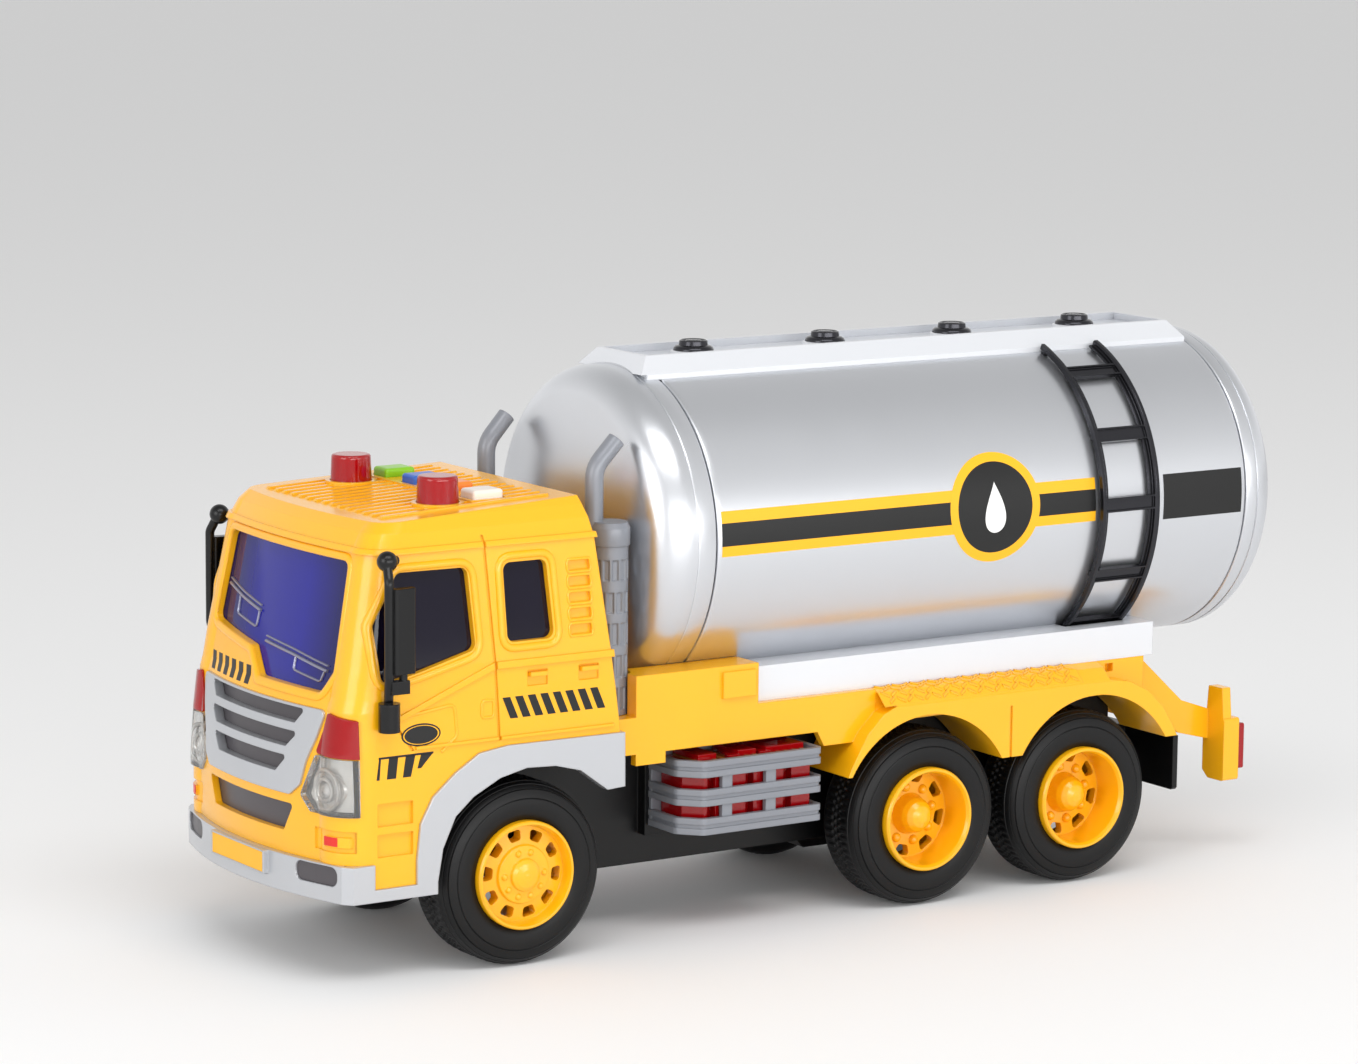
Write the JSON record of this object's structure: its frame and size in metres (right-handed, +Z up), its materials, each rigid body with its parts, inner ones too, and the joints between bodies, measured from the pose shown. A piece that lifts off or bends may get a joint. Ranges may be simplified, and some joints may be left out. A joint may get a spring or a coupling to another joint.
{
  "type": "toy tanker truck",
  "caption": "Three-axle toy tanker truck: rounded cab with roof keys and beacons, cylindrical tank with walkway, ladders and side baskets, on a friction-drive chassis.",
  "frame": {"origin": "on the floor under the middle of the truck's overall box, between the wheels", "axes": "+X towards the truck's nose, +Y towards its left side, +Z up"},
  "size_m": [0.2944, 0.0942, 0.1455],
  "materials": {
    "yellow_abs": "gloss",
    "silver_tank": "satin silver paint",
    "white_silver": "satin",
    "silver_trim": "plated plastic",
    "dark_plated": "dark plated plastic",
    "grille_grey": "satin",
    "black_plastic": "gloss",
    "grey_plastic": "satin",
    "tyre_vinyl": "matte",
    "glazing_blue": "clear tinted",
    "lens_red": "clear tinted",
    "lens_clear": "clear",
    "button_green": "gloss",
    "button_blue": "gloss",
    "button_amber": "gloss",
    "button_white": "gloss",
    "axle_steel": "turned",
    "flywheel_steel": "turned",
    "gear_white": "matte",
    "board_green": "matte",
    "cell_steel": "bright",
    "speaker_black": "matte"
  },
  "bodies": {
    "truck_body": {"basket_insert_left": "lens_red", "basket_insert_right": "lens_red", "basket_left": "grey_plastic", "basket_right": "grey_plastic", "battery_cover": "black_plastic", "beacon_left": "lens_red", "beacon_right": "lens_red", "button_cells": "cell_steel", "cab_glazing": "glazing_blue", "cab_shell": "yellow_abs", "chassis_tub": "black_plastic", "circuit_board": "board_green", "deck_frame": "yellow_abs", "exhaust_left": "grey_plastic", "exhaust_right": "grey_plastic", "fog_lamp_inserts": "grille_grey", "front_bumper": "silver_trim", "gear_case": "black_plastic", "grille_backing": "grille_grey", "grille_surround": "silver_trim", "hatch_caps": "dark_plated", "headlamp_lens_left": "lens_clear", "headlamp_lens_right": "lens_clear", "headlamp_red_left": "lens_red", "headlamp_red_right": "lens_red", "headlamp_reflectors": "silver_trim", "ladder_left": "dark_plated", "ladder_right": "dark_plated", "mirror_left": "black_plastic", "mirror_right": "black_plastic", "speaker": "speaker_black", "tail_lamps": "lens_red", "tank_barrel": "silver_tank", "tank_front_cap": "silver_tank", "tank_rear_cap": "silver_tank", "tank_saddle": "white_silver", "walkway_tray": "white_silver"},
    "front_axle": {"axle_front": "axle_steel", "hub_front_left": "yellow_abs", "tyre_front_left": "tyre_vinyl", "hub_front_right": "yellow_abs", "tyre_front_right": "tyre_vinyl"},
    "mid_axle": {"axle_mid": "axle_steel", "drive_gear": "gear_white", "hub_mid_left": "yellow_abs", "tyre_mid_left": "tyre_vinyl", "hub_mid_right": "yellow_abs", "tyre_mid_right": "tyre_vinyl"},
    "rear_axle": {"axle_rear": "axle_steel", "hub_rear_left": "yellow_abs", "tyre_rear_left": "tyre_vinyl", "hub_rear_right": "yellow_abs", "tyre_rear_right": "tyre_vinyl"},
    "compound_shaft": {"compound_gear": "gear_white"},
    "idler_shaft": {"idler_gear": "gear_white"},
    "flywheel_shaft": {"flywheel": "flywheel_steel"},
    "key_green": {"button_green": "button_green"},
    "key_blue": {"button_blue": "button_blue"},
    "key_amber": {"button_amber": "button_amber"},
    "key_clear": {"button_clear": "button_white"}
  },
  "joints": [
    {"name": "mid_axle_spin", "type": "hinge", "parent": "truck_body", "child": "mid_axle", "pos_m": [-0.03095, 0, 0.023], "axis": [0, 1, 0], "continuous": true},
    {"name": "front_axle_spin", "type": "hinge", "parent": "truck_body", "child": "front_axle", "pos_m": [0.09025, 0, 0.023], "axis": [0, 1, 0], "continuous": true},
    {"name": "rear_axle_spin", "type": "hinge", "parent": "truck_body", "child": "rear_axle", "pos_m": [-0.08115, 0, 0.023], "axis": [0, 1, 0], "continuous": true},
    {"name": "compound_spin", "type": "hinge", "parent": "truck_body", "child": "compound_shaft", "pos_m": [-0.01825, 0, 0.02463], "axis": [0, 1, 0], "continuous": true},
    {"name": "idler_spin", "type": "hinge", "parent": "truck_body", "child": "idler_shaft", "pos_m": [-0.00159, 0, 0.02678], "axis": [0, 1, 0], "continuous": true},
    {"name": "flywheel_spin", "type": "hinge", "parent": "truck_body", "child": "flywheel_shaft", "pos_m": [0.00793, 0, 0.028], "axis": [0, 1, 0], "continuous": true},
    {"name": "green_key_press", "type": "slide", "parent": "truck_body", "child": "key_green", "axis": [0, 0, -1], "range_m": [0, 0.0012], "stiffness_N_per_m": 600, "springref_m": -0.0004},
    {"name": "blue_key_press", "type": "slide", "parent": "truck_body", "child": "key_blue", "axis": [0, 0, -1], "range_m": [0, 0.0012], "stiffness_N_per_m": 600, "springref_m": -0.0004},
    {"name": "amber_key_press", "type": "slide", "parent": "truck_body", "child": "key_amber", "axis": [0, 0, -1], "range_m": [0, 0.0012], "stiffness_N_per_m": 600, "springref_m": -0.0004},
    {"name": "clear_key_press", "type": "slide", "parent": "truck_body", "child": "key_clear", "axis": [0, 0, -1], "range_m": [0, 0.0012], "stiffness_N_per_m": 600, "springref_m": -0.0004}
  ],
  "couplings": [
    {"joint": "compound_spin", "follows": "mid_axle_spin", "ratio": -3},
    {"joint": "idler_spin", "follows": "mid_axle_spin", "ratio": 4.875},
    {"joint": "flywheel_spin", "follows": "mid_axle_spin", "ratio": -9.75}
  ]
}
